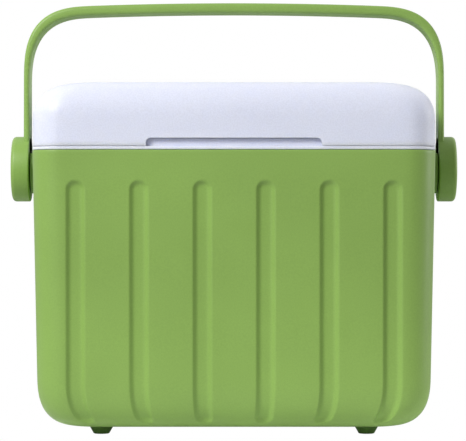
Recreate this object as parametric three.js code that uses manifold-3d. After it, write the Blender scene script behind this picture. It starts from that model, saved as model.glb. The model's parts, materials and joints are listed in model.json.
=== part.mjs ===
// Insulated cool box: a fluted green tub, a white hinged lid and a swinging strap handle.
// Millimetres, +Z up, front towards -Y. The origin is on the ground under the middle of the box.

import * as THREE from 'three';
import { mergeVertices } from 'three/addons/utils/BufferGeometryUtils.js';
import Module from 'manifold-3d';

const wasm = await Module();
wasm.setup();

// ---- driving dimensions ----

const GAP = 0.3; // left between pieces that touch

// tub, measured at the rim
const HALF_WIDTH = 163.1;
const HALF_DEPTH = 114.5;
const RIM_Z = 231.2; // top edge of the green shell
const BASE_Z = 6.2; // flat underside of the tub
const DRAFT = 0.0192; // the walls lean in by this much per mm of depth
const CORNER = 24; // plan radius of the vertical corners
// how fast that radius closes with distance in from the wall and with the swept edge
const CLOSING = { offset: 0.6, inset: 0.12, least: 8 };
const SKIN = 2.5; // wall of every moulding

// swept edge between the walls and the underside
const FOOT_SWEEP = { across: 37, up: 42, power: 2.7 };

// pressed flutes
const FLUTE = { half: 8.3, depth: 2.8, top: 207.4, pitch: 50.87, tip: 1.5, fade: 0.8 };
const FLUTE_HEAD = { down: 2.3, narrowed: 0.7 }; // a ring part of the way round the arched top
const FRONT_FLUTES = [-2.5, -1.5, -0.5, 0.5, 1.5, 2.5].map((k) => k * FLUTE.pitch);
const SIDE_FLUTES = [-1.5, -0.5, 0.5, 1.5].map((k) => k * FLUTE.pitch);
const CORNER_STARTS = { x: 136, y: 90 }; // where the flat walls hand over to the corners
const DRIFT_BELOW = { x: 143.5, y: 97.5 }; // a ring smaller than this draws its flutes together

// liner
const FOAM_OFFSET = 5.7; // from the outside of the box to the foam
const LINER_OFFSET = 13; // from the outside of the tub to the back of the liner
const BAND = { bottom: RIM_Z + GAP, top: 233.9 }; // the white rim flange
const UPSTAND = { offset: 4.5, thick: 2.5, top: 240.4 };

// lid
const LID = { bottom: 234.4, top: 286.4, across: 40, along: 24, down: 32, power: 2.45, shy: 0.2 };
const LID_LEAST = 4; // the inner skins of the lid sweep in by at least this much
const LID_FLANGE_Z = 241; // underside of the lid liner's flange
const PLUG = { offset: 17, bottom: 224 };
const FINGER = { half: 70.5, top: 240.7, radius: 4 };

// handle
const PIVOT_Z = 217.9;
const STRAP = { in: 172.2, out: 177, half: 15, bar: 8.3, foot: 233 };
const BEND = { start: 120, level: 297.4, crown: 2.2, top: 357.5, power: 2.9 };
const HUB = { radius: 27.4, edge: 3.4, inner: 2, out: 187.6, bore: 12.4, web: 181.2, recess: 20.3 };
const CAP = { face: 1.6, wall: 1.8, edge: 0.8, bevel: 1.2 }; // cover pressed into a hub's recess
const BOSS = { radius: 20.5, out: 171.3 };
const SLEEVE = { radius: 12, out: 181.6 }; // the hub turns on it

// fasteners: shank and head radii, head height
const SCREW = { shank: 1.5, head: 3.1, rise: 1.6, hole: 1.9 };
const PIVOT_SCREW = { shank: 3, head: 6, rise: 2, hole: 3.4, tip: 158.5 };
const WASHER = { radius: 16, thick: 1.5 };

// feet
const FOOT = { x: 108.5, y: 68, top: 9.35, bottom: 6.3, bevel: 1, well: 3.6, wellTop: 3 };
const FOOT_SCREW_TIP = BASE_Z + SKIN + 2;

// hinges at the back
const HINGE = { x: 101.75, proud: 3.6, z: 234.15, barrel: 3.1, pin: 1.5, half: 15, leaf: 2 };
const HINGE_Y = HALF_DEPTH + HINGE.proud;
const KNUCKLE = 5; // half length of the lid's middle knuckle
const LEAF_REACH = 24; // from the hinge axis to the far edge of a leaf
const LEAF_SCREWS = { x: 9.5, z: 15 }; // from the middle of the hinge
const SCREW_TIP_Y = HALF_DEPTH - 4.8;

// the hinge barrels stand proud at the back only, so the box sits this far forward of centre
const SHIFT_Y = -(HINGE.proud + HINGE.barrel) / 2;

const GREEN = { color: 0x86a857, roughness: 0.5, metalness: 0 };
const DARK_GREEN = { color: 0x26380f, roughness: 0.6, metalness: 0 };
const WHITE = { color: 0xdcdeea, roughness: 0.4, metalness: 0 };
const FOAM = { color: 0xe9dfb8, roughness: 0.95, metalness: 0 };
const STEEL = { color: 0xb4b7ba, roughness: 0.3, metalness: 0.9 };

// ---- solids ----

const box = new THREE.Group();
box.position.y = SHIFT_Y;

function toSolid(geometry) {
  const bare = geometry.clone();
  bare.deleteAttribute('normal');
  bare.deleteAttribute('uv');
  const welded = mergeVertices(bare.index ? bare.toNonIndexed() : bare, 1e-4);
  const mesh = new wasm.Mesh({
    numProp: 3,
    vertProperties: new Float32Array(welded.attributes.position.array),
    triVerts: new Uint32Array(welded.index.array),
  });
  return new wasm.Manifold(mesh);
}

function toGeometry(solid) {
  const mesh = solid.getMesh();
  const geometry = new THREE.BufferGeometry();
  geometry.setAttribute('position', new THREE.BufferAttribute(mesh.vertProperties, 3));
  geometry.setIndex(new THREE.BufferAttribute(mesh.triVerts, 1));
  geometry.computeVertexNormals();
  return geometry;
}

function joined(first, ...others) {
  return others.reduce((sum, other) => sum.add(toSolid(other)), toSolid(first));
}

function cut(solid, ...tools) {
  return tools.reduce((rest, tool) => rest.subtract(toSolid(tool)), solid);
}

function addPiece(name, geometry, look) {
  const mesh = new THREE.Mesh(geometry, new THREE.MeshStandardMaterial(look));
  mesh.name = name;
  box.add(mesh);
}

function block(x, y, z) {
  const size = [x[1] - x[0], y[1] - y[0], z[1] - z[0]];
  const geometry = new THREE.BoxGeometry(...size);
  geometry.translate((x[0] + x[1]) / 2, (y[0] + y[1]) / 2, (z[0] + z[1]) / 2);
  return geometry;
}

// a closed lathe of [radius, height] points, turned so that its axis lies along x, y or z
function turned(points, axis, sides) {
  const closed = [...points, points[0]].map(([r, h]) => new THREE.Vector2(r, h));
  const onAxis = points[0][0] === 0;
  const profile = onAxis ? closed.slice(0, -1) : closed;
  const geometry = new THREE.LatheGeometry(profile, sides);
  if (axis === 'x') geometry.rotateZ(-Math.PI / 2);
  if (axis === 'z') geometry.rotateX(Math.PI / 2);
  return geometry;
}

function rod(radius, from, to, axis, sides = 24) {
  return turned([[0, from], [radius, from], [radius, to], [0, to]], axis, sides);
}

// ---- rounded rings and the skins lofted through them ----

// how far a swept edge has come in at a share t (0 wall, 1 flat) of its sweep
function sweepAt(t, power) {
  const angle = (t * Math.PI) / 2;
  return {
    inward: 1 - Math.cos(angle) ** (2 / power),
    along: Math.sin(angle) ** (2 / power),
  };
}

// one side of a ring: x positions with the flutes' edges between them
function sideStops(start, flutes, halfWidth) {
  const edges = flutes.flatMap((c) => [-1, -0.6, 0.6, 1].map((k) => [c + k * halfWidth, Math.abs(k) < 1]));
  return [[-start, false], ...edges, [start, false]];
}

// a rounded rectangle with flutes pressed into its four sides, counter-clockwise from above
function ring({ hx, hy, radius, z, press = 0, half = 1, fluted = true }) {
  const points = [];
  const coreX = hx - radius;
  const coreY = hy - radius;
  const squeeze = Math.min(1, hx / DRIFT_BELOW.x, hy / DRIFT_BELOW.y);
  const onArc = (v, core) => (v > core ? radius - Math.sqrt(radius ** 2 - (v - core) ** 2) : 0);
  const sides = [
    { start: CORNER_STARTS.x, flutes: FRONT_FLUTES, core: coreX, out: hy, turn: 0 },
    { start: CORNER_STARTS.y, flutes: SIDE_FLUTES, core: coreY, out: hx, turn: 1 },
    { start: CORNER_STARTS.x, flutes: FRONT_FLUTES, core: coreX, out: hy, turn: 2 },
    { start: CORNER_STARTS.y, flutes: SIDE_FLUTES, core: coreY, out: hx, turn: 3 },
  ];
  const arms = sides.map((side) => Math.min(side.start * squeeze, side.core + radius * 0.6));
  sides.forEach((side, i) => {
    const stops = fluted ? sideStops(side.start, side.flutes, half) : sideStops(side.start, [], half);
    for (const [along, pressed] of stops) {
      const a = Math.sign(along) * Math.min(Math.abs(along) * squeeze, arms[i]);
      const out = side.out - onArc(Math.abs(a), side.core) - (pressed ? press : 0);
      points.push(rotated(a, -out, side.turn));
    }
    const next = sides[(i + 1) % 4];
    const from = Math.asin(Math.max(0, arms[i] - side.core) / radius);
    const to = Math.PI / 2 - Math.asin(Math.max(0, arms[(i + 1) % 4] - next.core) / radius);
    for (let k = 0; k < 4; k += 1) {
      const angle = from + ((to - from) * (k + 0.5)) / 4;
      const a = side.core + radius * Math.sin(angle);
      points.push(rotated(a, -(side.out - radius * (1 - Math.cos(angle))), side.turn));
    }
  });
  return points.map(([x, y]) => [x, y, z]);
}

function rotated(x, y, quarterTurns) {
  return [[x, y], [-y, x], [-x, -y], [y, -x]][quarterTurns];
}

// a closed skin through rings of equal length, with a fan over its first and last ring
function loft(rings) {
  const count = rings[0].length;
  const vertices = rings.flat();
  const index = [];
  for (let level = 0; level + 1 < rings.length; level += 1) {
    for (let k = 0; k < count; k += 1) {
      const a = level * count + k;
      const b = level * count + ((k + 1) % count);
      index.push(a, b, b + count, a, b + count, a + count);
    }
  }
  for (const level of [0, rings.length - 1]) {
    const middle = vertices.length;
    vertices.push([0, 0, rings[level][0][2]]);
    for (let k = 0; k < count; k += 1) {
      const a = level * count + k;
      const b = level * count + ((k + 1) % count);
      if (level === 0) index.push(middle, b, a);
      else index.push(middle, a, b);
    }
  }
  const geometry = new THREE.BufferGeometry();
  geometry.setAttribute('position', new THREE.Float32BufferAttribute(vertices.flat(), 3));
  geometry.setIndex(index);
  return geometry;
}

function planRadius(offset, inset = 0) {
  return Math.max(CORNER - CLOSING.offset * offset - CLOSING.inset * inset, CLOSING.least);
}

// wall of the tub at a height, moved in by an offset
function tubWall(z, offset) {
  const lean = (RIM_Z - z) * DRAFT;
  return { hx: HALF_WIDTH - lean - offset, hy: HALF_DEPTH - lean - offset };
}

// the swept lower part of the tub, from its flat base up to the plain wall
function tubSweep(offset, shares, fluted) {
  return shares.map((share) => {
    const { inward, along } = sweepAt(share, FOOT_SWEEP.power);
    const z = BASE_Z + FOOT_SWEEP.up - (FOOT_SWEEP.up - offset) * along;
    const wall = tubWall(z, offset);
    const inset = (FOOT_SWEEP.across - offset) * inward;
    const faded = share > FLUTE.fade;
    return ring({
      hx: wall.hx - inset,
      hy: wall.hy - inset,
      radius: planRadius(offset, inset),
      z,
      press: faded ? 0 : FLUTE.depth * Math.min(1, (FLUTE.fade - share) * 5),
      half: faded ? FLUTE.tip : FLUTE.half,
      fluted,
    });
  });
}

function tubRing(z, offset, press, half, fluted) {
  return ring({ ...tubWall(z, offset), radius: planRadius(offset), z, press, half, fluted });
}

const SWEEP_FINE = [1, 0.83, 0.67, 0.5, 0.33, 0.17, 0];
const SWEEP_COARSE = [1, 0.67, 0.33, 0];

// an open cup's rings from its base up to its top, with or without the flutes
function cup(offset, top, shares, fluted) {
  const rings = tubSweep(offset, shares, fluted);
  if (fluted) {
    rings.push(tubRing(FLUTE.top - FLUTE.half, offset, FLUTE.depth, FLUTE.half, true));
    const narrowed = FLUTE.half * FLUTE_HEAD.narrowed;
    rings.push(tubRing(FLUTE.top - FLUTE_HEAD.down, offset, FLUTE.depth, narrowed, true));
    rings.push(tubRing(FLUTE.top, offset, 0, FLUTE.tip, true));
  }
  rings.push(tubRing(top, offset, 0, FLUTE.tip, fluted));
  return rings;
}

// ---- tub ----

const EVERY_SIDE = [-1, 1];

function leafScrewSpots() {
  return EVERY_SIDE.flatMap((side) => EVERY_SIDE.map((k) => side * HINGE.x + k * LEAF_SCREWS.x));
}

// a rod along x or -x, on the pivot axis
function pivotRod(radius, from, to, side, sides) {
  const [low, high] = [side * from, side * to].sort((a, b) => a - b);
  const piece = rod(radius, low, high, 'x', sides);
  piece.translate(0, 0, PIVOT_Z);
  return piece;
}

function hingeShafts(up) {
  return leafScrewSpots().map((x) => {
    const shaft = rod(SCREW.hole, SCREW_TIP_Y - 1, HALF_DEPTH + 5, 'y', 10);
    shaft.translate(x, 0, HINGE.z + up * LEAF_SCREWS.z);
    return shaft;
  });
}

function makeOuterShell() {
  const inside = cup(SKIN, RIM_Z, SWEEP_COARSE, true).reverse();
  const shell = toSolid(loft([...cup(0, RIM_Z, SWEEP_FINE, true), ...inside]));
  const footShafts = footSpots().map(([x, y]) => {
    const shaft = rod(SCREW.hole, BASE_Z - 2, FOOT_SCREW_TIP, 'z', 10);
    return shaft.translate(x, y, 0);
  });
  const pivotShafts = EVERY_SIDE.map((side) => {
    return pivotRod(PIVOT_SCREW.hole, PIVOT_SCREW.tip, HALF_WIDTH + 1, side, 16);
  });
  const drilled = cut(shell, ...hingeShafts(-1), ...footShafts, ...pivotShafts);
  addPiece('outer_shell', toGeometry(drilled), GREEN);
}

function makeInnerLiner() {
  const inner = LINER_OFFSET + SKIN;
  const lip = UPSTAND.offset + UPSTAND.thick;
  const rings = [
    ...cup(LINER_OFFSET, BAND.bottom, SWEEP_COARSE, false),
    tubRing(BAND.bottom, 0, 0, 1, false),
    tubRing(BAND.top, 0, 0, 1, false),
    tubRing(BAND.top, UPSTAND.offset, 0, 1, false),
    tubRing(UPSTAND.top, UPSTAND.offset, 0, 1, false),
    tubRing(UPSTAND.top, lip, 0, 1, false),
    tubRing(BAND.top, lip, 0, 1, false),
    ...cup(inner, BAND.top, SWEEP_COARSE, false).reverse(),
  ];
  addPiece('inner_liner', loft(rings), WHITE);
}

function makeTubFoam() {
  const inside = cup(LINER_OFFSET - GAP, RIM_Z, SWEEP_COARSE, false).reverse();
  addPiece('tub_foam', loft([...cup(FOAM_OFFSET, RIM_Z, SWEEP_COARSE, false), ...inside]), FOAM);
}

// ---- lid ----

function lidRing(z, offset, share = 0) {
  const { inward } = sweepAt(share, LID.power);
  const shy = LID.shy + offset;
  const hx = HALF_WIDTH - shy - Math.max(LID.across - offset, LID_LEAST) * inward;
  const hy = HALF_DEPTH - shy - Math.max(LID.along - offset, LID_LEAST) * inward;
  return ring({ hx, hy, radius: planRadius(offset), z, fluted: false });
}

function lidRise(offset, shares) {
  return shares.map((share) => {
    const { along } = sweepAt(share, LID.power);
    return lidRing(LID.top - LID.down + (LID.down - offset) * along, offset, share);
  });
}

function makeLidShell() {
  const inside = [...lidRise(SKIN, [1, 0.67, 0.33, 0]), lidRing(LID.bottom, SKIN)];
  const outside = [lidRing(LID.bottom, 0), ...lidRise(0, [0, 0.17, 0.33, 0.5, 0.67, 0.83, 1])];
  const shell = toSolid(loft([...inside, ...outside]));
  addPiece('lid_shell', toGeometry(cut(shell, fingerSlot(), ...hingeShafts(1))), WHITE);
}

// the slot that the fingers go in, through the front skirt only
function fingerSlot() {
  const { half, top, radius } = FINGER;
  const shape = new THREE.Shape();
  shape.moveTo(-half, LID.bottom - 1);
  shape.lineTo(half, LID.bottom - 1);
  shape.lineTo(half, top - radius);
  shape.absarc(half - radius, top - radius, radius, 0, Math.PI / 2);
  shape.absarc(radius - half, top - radius, radius, Math.PI / 2, Math.PI);
  shape.closePath();
  const slot = new THREE.ExtrudeGeometry(shape, { depth: 10, bevelEnabled: false, curveSegments: 3 });
  slot.rotateX(Math.PI / 2);
  slot.translate(0, -HALF_DEPTH + SKIN + 3, 0);
  return slot;
}

function makeLidLiner() {
  const edge = SKIN + GAP;
  const top = LID_FLANGE_Z + SKIN;
  const rings = [
    lidRing(PLUG.bottom, PLUG.offset),
    lidRing(LID_FLANGE_Z, PLUG.offset),
    lidRing(LID_FLANGE_Z, edge),
    lidRing(top, edge),
    lidRing(top, PLUG.offset + SKIN),
    lidRing(PLUG.bottom + SKIN, PLUG.offset + SKIN),
  ];
  addPiece('lid_liner', loft(rings), WHITE);
}

function makeLidFoam() {
  const edge = FOAM_OFFSET;
  const rings = [
    lidRing(PLUG.bottom + SKIN + GAP, PLUG.offset + SKIN + GAP),
    lidRing(LID_FLANGE_Z + SKIN + GAP, PLUG.offset + SKIN + GAP),
    lidRing(LID_FLANGE_Z + SKIN + GAP, edge),
    ...lidRise(edge, [0, 0.33, 0.67, 1]),
  ];
  addPiece('lid_foam', loft(rings), FOAM);
}

// ---- handle ----

// height of the outside of the strap over a distance x from the middle
function strapHeight(x, reach, drop, top) {
  const crown = top - BEND.crown * (x / BEND.start) ** 2;
  const over = Math.max(0, (x - BEND.start) / reach);
  return crown - drop * (1 - Math.max(0, 1 - over ** BEND.power) ** (1 / BEND.power));
}

// one side of the strap's outline, from the middle of the bar down to the foot of the arm
function strapEdge(out, top) {
  const reach = out - BEND.start;
  const drop = top - BEND.level - BEND.crown * (out / BEND.start) ** 2;
  const shares = [0.2, 0.35, 0.5, 0.62, 0.74, 0.84, 0.93, 1];
  const bend = shares.map((t) => BEND.start + reach * Math.sin((t * Math.PI) / 2) ** (2 / BEND.power));
  const bar = [0, BEND.start / 2, BEND.start];
  return [
    ...[...bar, ...bend].map((x) => [x, strapHeight(x, reach, drop, top)]),
    [out, STRAP.foot],
  ];
}

function strapGeometry() {
  const outer = strapEdge(STRAP.out, BEND.top);
  const inner = strapEdge(STRAP.in, BEND.top - STRAP.bar);
  const mirror = ([x, z]) => [-x, z];
  const outline = [
    ...outer,
    ...inner.slice().reverse(),
    ...inner.slice(1).map(mirror),
    ...outer.slice(1).reverse().map(mirror),
  ];
  const shape = new THREE.Shape(outline.map(([x, z]) => new THREE.Vector2(x, z)));
  const strap = new THREE.ExtrudeGeometry(shape, { depth: 2 * STRAP.half, bevelEnabled: false });
  strap.rotateX(Math.PI / 2);
  strap.translate(0, STRAP.half, 0);
  return strap;
}

function hubGeometry(side) {
  const { radius, edge, inner, out, bore, web, recess } = HUB;
  const points = [
    [bore, STRAP.in],
    [radius - inner, STRAP.in],
    [radius, STRAP.in + inner],
    [radius, out - edge],
    [radius - edge * 0.3, out - edge * 0.3],
    [radius - edge, out],
    [recess, out],
    [recess, web],
    [bore, web],
  ];
  return sided(points, side, 32);
}

// turns every face over, for a profile that was listed backwards
function flipped(geometry) {
  const order = geometry.index.array;
  for (let k = 0; k < order.length; k += 3) [order[k], order[k + 1]] = [order[k + 1], order[k]];
  return geometry;
}

// a piece turned about the pivot axis, on one side of the box
function sided(points, side, sides) {
  const piece = turned(points.map(([r, x]) => [r, side * x]), 'x', sides);
  piece.translate(0, 0, PIVOT_Z);
  return side > 0 ? piece : flipped(piece);
}

function makeHandle() {
  const handle = joined(strapGeometry(), ...EVERY_SIDE.map(hubGeometry));
  addPiece('handle', toGeometry(handle), GREEN);
}

// a round boss that stands on the end wall and stops level with the rim
function bossGeometry(side) {
  const { hole, tip } = PIVOT_SCREW;
  const round = pivotRod(BOSS.radius, HALF_WIDTH - 5, BOSS.out, side, 32);
  const bore = pivotRod(hole, tip, BOSS.out + 1, side, 16);
  const above = block([-HUB.out, HUB.out], [-HUB.out, HUB.out], [RIM_Z, BEND.top]);
  const wall = loft([tubRing(BASE_Z, -GAP, 0, 1, false), tubRing(RIM_Z, -GAP, 0, 1, false)]);
  return toGeometry(cut(toSolid(round), bore, above, wall));
}

function makePivot(name, side) {
  const washerIn = SLEEVE.out + GAP;
  const headIn = washerIn + WASHER.thick + GAP;
  const { shank, head, rise, hole, tip } = PIVOT_SCREW;
  addPiece(`pivot_boss_${name}`, bossGeometry(side), GREEN);
  const sleeve = [
    [hole, BOSS.out + GAP],
    [SLEEVE.radius, BOSS.out + GAP],
    [SLEEVE.radius, SLEEVE.out],
    [hole, SLEEVE.out],
  ];
  addPiece(`pivot_sleeve_${name}`, sided(sleeve, side, 32), GREEN);
  const washer = [
    [hole, washerIn],
    [WASHER.radius, washerIn],
    [WASHER.radius, washerIn + WASHER.thick],
    [hole, washerIn + WASHER.thick],
  ];
  addPiece(`pivot_washer_${name}`, sided(washer, side, 24), STEEL);
  const screw = [[0, tip], [shank, tip], [shank, headIn], [head, headIn], [head, headIn + rise], [0, headIn + rise]];
  addPiece(`pivot_screw_${name}`, sided(screw, side, 16), STEEL);
  const rim = HUB.recess - GAP;
  const cap = [
    [0, HUB.out - CAP.face],
    [rim - CAP.wall, HUB.out - CAP.face],
    [rim - CAP.wall, HUB.web + GAP],
    [rim, HUB.web + GAP],
    [rim, HUB.out - CAP.edge],
    [rim - CAP.bevel, HUB.out],
    [0, HUB.out],
  ];
  addPiece(`hub_cap_${name}`, sided(cap, side, 24), GREEN);
}

// ---- feet ----

function footSpots() {
  return EVERY_SIDE.flatMap((y) => EVERY_SIDE.map((x) => [x * FOOT.x, y * FOOT.y]));
}

function makeFeet() {
  const names = ['front_left', 'front_right', 'rear_left', 'rear_right'];
  const top = BASE_Z - GAP;
  const foot = [
    [FOOT.well, 0],
    [FOOT.bottom - FOOT.bevel, 0],
    [FOOT.bottom, FOOT.bevel],
    [FOOT.top, top],
    [SCREW.hole, top],
    [SCREW.hole, FOOT.wellTop],
    [FOOT.well, FOOT.wellTop],
  ];
  const headTop = FOOT.wellTop - GAP;
  const tip = FOOT_SCREW_TIP;
  const { shank, head, rise } = SCREW;
  const headEnd = headTop - rise;
  const screw = [[0, headEnd], [head, headEnd], [head, headTop], [shank, headTop], [shank, tip], [0, tip]];
  footSpots().forEach(([x, y], k) => {
    const rubber = turned(foot, 'z', 16);
    rubber.translate(x, y, 0);
    addPiece(`foot_${names[k]}`, rubber, DARK_GREEN);
    const fastener = turned(screw, 'z', 10);
    fastener.translate(x, y, 0);
    addPiece(`foot_screw_${names[k]}`, fastener, STEEL);
  });
}

// ---- hinges ----

// a flat leaf with knuckles round the pin; up is 1 on the lid and -1 on the tub
function leafGeometry(up, spans) {
  const back = [HALF_DEPTH + GAP, HALF_DEPTH + GAP + HINGE.leaf];
  const reach = (near) => [up * near, up * LEAF_REACH].sort((a, b) => a - b).map((z) => HINGE.z + z);
  const plate = block([-HINGE.half, HINGE.half], back, reach(HINGE.barrel + GAP));
  const barrels = spans.flatMap(([from, to]) => {
    const barrel = rod(HINGE.barrel, from, to, 'x', 16);
    barrel.translate(0, HINGE_Y, HINGE.z);
    return [barrel, block([from, to], back, reach(0.5))];
  });
  const bore = rod(HINGE.pin + GAP, -HINGE.half - 1, HINGE.half + 1, 'x', 12);
  bore.translate(0, HINGE_Y, HINGE.z);
  const holes = EVERY_SIDE.map((k) => {
    const hole = rod(SCREW.hole, HALF_DEPTH - 1, HALF_DEPTH + 6, 'y', 10);
    hole.translate(k * LEAF_SCREWS.x, 0, HINGE.z + up * LEAF_SCREWS.z);
    return hole;
  });
  return toGeometry(cut(joined(plate, ...barrels), bore, ...holes));
}

function makeHinge(name, side) {
  const inner = KNUCKLE - GAP;
  const lidSpans = [[-inner, inner]];
  const tubSpans = [[-HINGE.half, -KNUCKLE], [KNUCKLE, HINGE.half]];
  const place = (geometry) => geometry.translate(side * HINGE.x, 0, 0);
  addPiece(`hinge_lid_${name}`, place(leafGeometry(1, lidSpans)), WHITE);
  addPiece(`hinge_tub_${name}`, place(leafGeometry(-1, tubSpans)), WHITE);
  const pin = rod(HINGE.pin, -HINGE.half, HINGE.half, 'x', 12);
  pin.translate(0, HINGE_Y, HINGE.z);
  addPiece(`hinge_pin_${name}`, place(pin), STEEL);
  const headIn = HALF_DEPTH + 2 * GAP + HINGE.leaf;
  const { shank, head, rise } = SCREW;
  const screw = [
    [0, SCREW_TIP_Y],
    [shank, SCREW_TIP_Y],
    [shank, headIn],
    [head, headIn],
    [head, headIn + rise],
    [0, headIn + rise],
  ];
  for (const [leaf, up] of [['lid', 1], ['tub', -1]]) {
    for (const k of EVERY_SIDE) {
      const fastener = turned(screw, 'y', 10);
      fastener.translate(k * LEAF_SCREWS.x, 0, HINGE.z + up * LEAF_SCREWS.z);
      const end = k < 0 ? 'a' : 'b';
      addPiece(`hinge_screw_${leaf}_${name}_${end}`, place(fastener), STEEL);
    }
  }
}

makeOuterShell();
makeInnerLiner();
makeTubFoam();
makeLidShell();
makeLidLiner();
makeLidFoam();
makeHandle();
makeFeet();
for (const [name, side] of [['left', -1], ['right', 1]]) {
  makePivot(name, side);
  makeHinge(name, side);
}

export default box;
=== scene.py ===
import json
import math

import bmesh
import bpy
import numpy as np
from mathutils import Matrix, Vector


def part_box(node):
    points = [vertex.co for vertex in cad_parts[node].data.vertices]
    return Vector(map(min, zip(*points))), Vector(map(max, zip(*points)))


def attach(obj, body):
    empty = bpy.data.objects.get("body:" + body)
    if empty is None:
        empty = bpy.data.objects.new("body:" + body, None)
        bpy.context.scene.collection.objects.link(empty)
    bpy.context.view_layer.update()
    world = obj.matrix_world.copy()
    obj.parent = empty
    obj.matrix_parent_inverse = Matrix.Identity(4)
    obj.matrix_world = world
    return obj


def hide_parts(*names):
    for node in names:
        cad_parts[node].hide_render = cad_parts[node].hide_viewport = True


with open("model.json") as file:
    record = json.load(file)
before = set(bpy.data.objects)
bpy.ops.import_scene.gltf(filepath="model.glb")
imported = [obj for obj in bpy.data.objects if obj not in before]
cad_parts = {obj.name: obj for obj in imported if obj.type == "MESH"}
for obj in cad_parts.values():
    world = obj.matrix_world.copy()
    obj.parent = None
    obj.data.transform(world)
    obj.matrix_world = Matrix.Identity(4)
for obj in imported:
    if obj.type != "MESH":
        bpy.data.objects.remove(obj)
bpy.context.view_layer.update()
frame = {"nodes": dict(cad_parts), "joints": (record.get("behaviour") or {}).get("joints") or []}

MM = 0.001

# ---------------------------------------------------------------- sizes

SHELL_LOW, SHELL_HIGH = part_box("outer_shell")
BAND_LOW, BAND_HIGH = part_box("inner_liner")
LID_LOW, LID_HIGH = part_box("lid_shell")
STRAP_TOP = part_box("handle")[1].z
JOINTS = {joint["name"]: joint for joint in frame["joints"]}

MID_Y = (BAND_LOW.y + BAND_HIGH.y) / 2
HALF_WIDTH = (BAND_HIGH.x - BAND_LOW.x) / 2
HALF_DEPTH = (BAND_HIGH.y - BAND_LOW.y) / 2
BASE_Z = SHELL_LOW.z
RIM_Z = SHELL_HIGH.z
PIVOT_Z = JOINTS["handle_swing"]["pos_m"][2]
HINGE_Y, HINGE_Z = JOINTS["lid_open"]["pos_m"][1:]

SKIN = 2.5 * MM
DRAFT = 0.0192
CORNER = 24 * MM
CLOSING = {"offset": 0.6, "inset": 0.12, "least": 8 * MM}  # how corners tighten further in
SWEEP = {"across": 37 * MM, "up": 42 * MM, "power": 2.7}
FLUTE = {"half": 8.3 * MM, "wall": 6 * MM, "depth": 2.8 * MM, "top": 207.4 * MM, "end": 10.2 * MM}
FLUTE_PITCH = 50.87 * MM
FRONT_FLUTES = [k * FLUTE_PITCH for k in (-2.5, -1.5, -0.5, 0.5, 1.5, 2.5)]
SIDE_FLUTES = [k * FLUTE_PITCH for k in (-1.5, -0.5, 0.5, 1.5)]
# mm from a flute's middle line to the columns of points on one side of it
FLUTE_STEPS = (-9.5, -8.7, -8.2, -7.7, -7.2, -6.7, -6.2, -5.6, -5, -4.4, -3.6, -2.6, 0)
SIDE_ENDS = (136 * MM, 90 * MM)  # where the walls hand over to the corners, across and along
SIDES = ("left", -1), ("right", 1)


# ---------------------------------------------------------------- rings and skins


def sweep_at(share, power):
    """How far a swept edge has come in and gone along at a share, 0 wall to 1 flat."""
    angle = share * math.pi / 2
    return 1 - math.cos(angle) ** (2 / power), math.sin(angle) ** (2 / power)


def columns_for(flutes, end, extra=()):
    """Positions along one side: close together over the walls of the flutes."""
    steps = [s * MM for s in FLUTE_STEPS] + [-s * MM for s in FLUTE_STEPS[:-1]]
    found = sorted({round(c + s, 6) for c in flutes for s in steps} | {-end, end, *extra})
    return np.array(found)


def corner_radius(offset, inset=0):
    """The plan radius of a corner, on a skin further in by an offset or an edge swept in."""
    tighter = CORNER - CLOSING["offset"] * offset - CLOSING["inset"] * inset
    return max(tighter, CLOSING["least"])


def ring(half_x, half_y, radius, columns, corner_steps, squeeze=(1, 1)):
    """A rounded rectangle, counter-clockwise from above, through the given columns of its sides."""
    halves = (half_x, half_y)
    out = []
    for turn in range(4):
        across, depth = halves[turn % 2], halves[1 - turn % 2]
        stops = columns[turn % 2] * squeeze[turn % 2]
        core = across - radius
        beyond = np.clip(np.abs(stops) - core, 0, radius)
        rows = [(a, -(depth - radius + math.sqrt(radius**2 - b**2))) for a, b in zip(stops, beyond)]
        near = math.asin(min(1, max(0, stops[-1] - core) / radius))
        next_core = depth - radius
        next_stop = columns[1 - turn % 2][-1] * squeeze[1 - turn % 2]
        far = math.pi / 2 - math.asin(min(1, max(0, next_stop - next_core) / radius))
        for k in range(corner_steps):
            angle = near + (far - near) * (k + 1) / (corner_steps + 1)
            fall = radius * (1 - math.cos(angle))
            rows.append((core + radius * math.sin(angle), -(depth - fall)))
        turned = {0: lambda x, y: (x, y), 1: lambda x, y: (-y, x),
                  2: lambda x, y: (-x, -y), 3: lambda x, y: (y, -x)}[turn]
        out += [turned(x, y) for x, y in rows]
    return np.array(out)


def side_values(columns, corner_steps):
    """For each point of a ring: its position along its side, and which side it's on."""
    along, side = [], []
    for turn in range(4):
        stops = columns[turn % 2]
        along += list(stops) + [np.nan] * corner_steps
        side += [turn] * (len(stops) + corner_steps)
    return np.array(along), np.array(side)


def grid_normals(grid):
    """Outward unit normals of a closed-round grid of rows that climb."""
    around = np.roll(grid, -1, axis=1) - np.roll(grid, 1, axis=1)
    up = np.gradient(grid, axis=0)
    normal = np.cross(around, up)
    return normal / np.maximum(np.linalg.norm(normal, axis=2, keepdims=True), 1e-12)


def linked(name, data):
    """An object for a mesh, light or camera, put in the scene."""
    piece = bpy.data.objects.new(name, data)
    bpy.context.scene.collection.objects.link(piece)
    return piece


def mesh_object(name, vertices, faces):
    mesh = bpy.data.meshes.new(name)
    mesh.from_pydata([tuple(v) for v in vertices], [], faces)
    mesh.validate()
    mesh.shade_smooth()
    return linked(name, mesh)


def object_from(work, name):
    """An object from a bmesh, which is used up."""
    mesh = bpy.data.meshes.new(name)
    work.to_mesh(mesh)
    work.free()
    return linked(name, mesh)


def evaluated_mesh(piece):
    """The mesh of a piece with its modifiers applied."""
    depsgraph = bpy.context.evaluated_depsgraph_get()
    return bpy.data.meshes.new_from_object(piece.evaluated_get(depsgraph))


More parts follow.
